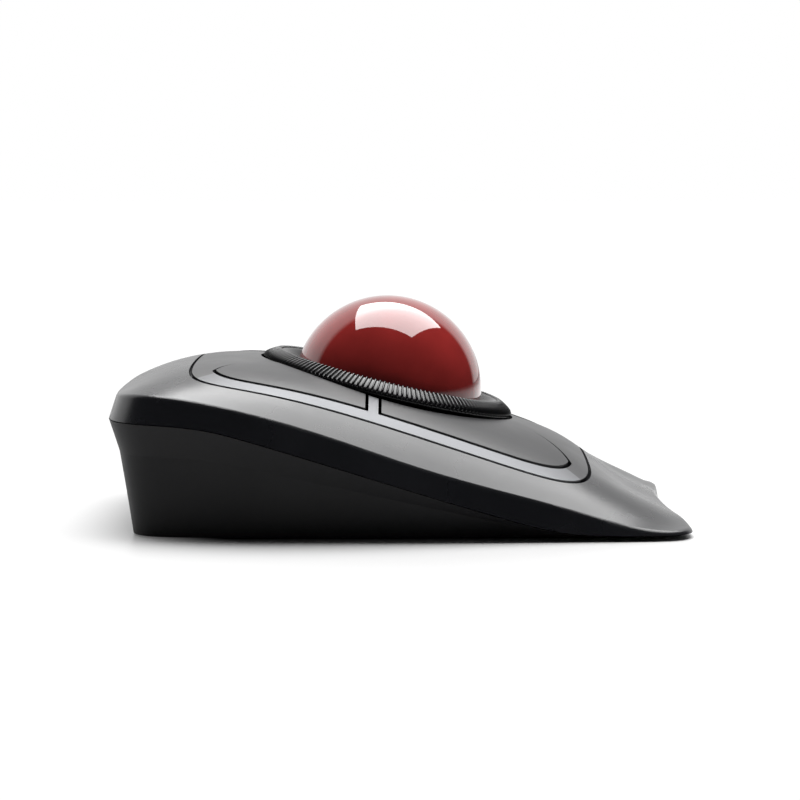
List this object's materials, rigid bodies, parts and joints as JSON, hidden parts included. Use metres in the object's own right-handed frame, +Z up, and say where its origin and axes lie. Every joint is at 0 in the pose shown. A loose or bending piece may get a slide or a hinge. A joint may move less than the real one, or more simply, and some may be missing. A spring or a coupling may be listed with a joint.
{
  "type": "trackball mouse",
  "caption": "Large desktop trackball mouse with a thumb-sized red ball in a tilted ribbed scroll ring, corner buttons in silver trim and a domed black case.",
  "frame": {"origin": "middle of the footprint box at desk level", "axes": "+Z up, +Y towards the high rear end, -Y towards the user, +X to the user's right"},
  "size_m": [0.13, 0.1616, 0.0637],
  "materials": {
    "shell": "satin moulded black plastic",
    "base": "fine textured black plastic",
    "trim": "silver painted plastic, satin",
    "button": "satin moulded charcoal plastic",
    "ball": "polished deep red resin",
    "ring": "ribbed satin black plastic",
    "inner_plastic": "plain moulded plastic",
    "nylon": "natural nylon",
    "steel": "bright steel",
    "ceramic": "polished ceramic",
    "lens": "clear moulded lens",
    "circuit": "solder masked board",
    "chip": "black epoxy",
    "switch": "black switch housing",
    "plunger": "red switch plunger",
    "battery": "printed steel cell, plain",
    "spring": "nickel plated",
    "foot": "soft rubber",
    "label": "blank satin label"
  },
  "bodies": {
    "case": {"top_cover": "shell", "bottom_case": "base", "trim_frame": "trim", "button_carrier": "inner_plastic", "hinge_pins": "steel", "glide_washer": "nylon", "ring_carrier": "inner_plastic", "ball_cup": "inner_plastic", "support_balls": "ceramic", "sensor_lens": "lens", "sensor_holder": "inner_plastic", "sensor_chip": "chip", "sensor_board": "circuit", "ring_photo_gate": "chip", "main_board": "circuit", "board_chips": "chip", "case_screws": "steel", "board_screws": "steel", "battery_front": "battery", "battery_rear": "battery", "battery_contacts": "spring", "foot_front_left": "foot", "foot_front_right": "foot", "foot_rear_left": "foot", "foot_rear_right": "foot", "blank_label": "label", "switch_front_left": "switch", "switch_front_right": "switch", "switch_rear_left": "switch", "switch_rear_right": "switch"},
    "ball": {"trackball": "ball"},
    "ring": {"scroll_ring": "ring", "encoder_wheel": "inner_plastic"},
    "press_front_left": {"button_front_left": "button", "plunger_front_left": "plunger"},
    "press_front_right": {"button_front_right": "button", "plunger_front_right": "plunger"},
    "press_rear_left": {"button_rear_left": "button", "plunger_rear_left": "plunger"},
    "press_rear_right": {"button_rear_right": "button", "plunger_rear_right": "plunger"},
    "switch_knob": {"power_switch": "button"},
    "link_key": {"connect_button": "button"},
    "door": {"battery_door": "base"},
    "receiver": {"usb_receiver": "button"}
  },
  "joints": [
    {"name": "ball_roll", "type": "hinge", "parent": "case", "child": "ball", "pos_m": [0, 0.003, 0.0362], "axis": [1, 0, 0], "continuous": true},
    {"name": "ring_turn", "type": "hinge", "parent": "case", "child": "ring", "pos_m": [0, 0.003, 0.0378], "axis": [0, -0.2368, 0.9715], "continuous": true},
    {"name": "front_left_click", "type": "hinge", "parent": "case", "child": "press_front_left", "pos_m": [-0.033, -0.042, 0.01524], "axis": [1, 0, 0], "range_deg": [-1.4, 0], "stiffness_Nm_per_rad": 0.8, "springref_deg": 0.86},
    {"name": "front_right_click", "type": "hinge", "parent": "case", "child": "press_front_right", "pos_m": [0.033, -0.042, 0.01524], "axis": [1, 0, 0], "range_deg": [-1.4, 0], "stiffness_Nm_per_rad": 0.8, "springref_deg": 0.86},
    {"name": "rear_left_click", "type": "hinge", "parent": "case", "child": "press_rear_left", "pos_m": [-0.033, 0.045, 0.03826], "axis": [1, 0, 0], "range_deg": [0, 1.4], "stiffness_Nm_per_rad": 0.8, "springref_deg": -0.86},
    {"name": "rear_right_click", "type": "hinge", "parent": "case", "child": "press_rear_right", "pos_m": [0.033, 0.045, 0.03826], "axis": [1, 0, 0], "range_deg": [0, 1.4], "stiffness_Nm_per_rad": 0.8, "springref_deg": -0.86},
    {"name": "power_slide", "type": "slide", "parent": "case", "child": "switch_knob", "axis": [1, 0, 0], "range_m": [0, 0.003]},
    {"name": "link_press", "type": "slide", "parent": "case", "child": "link_key", "axis": [0, 0, 1], "range_m": [0, 0.0008], "stiffness_N_per_m": 400, "springref_m": -0.0004},
    {"name": "door_lift_off", "type": "slide", "parent": "case", "child": "door", "axis": [0, 0, -1], "range_m": [0, 0.012]},
    {"name": "receiver_pull", "type": "slide", "parent": "case", "child": "receiver", "axis": [0, 0, -1], "range_m": [0, 0.02]}
  ]
}
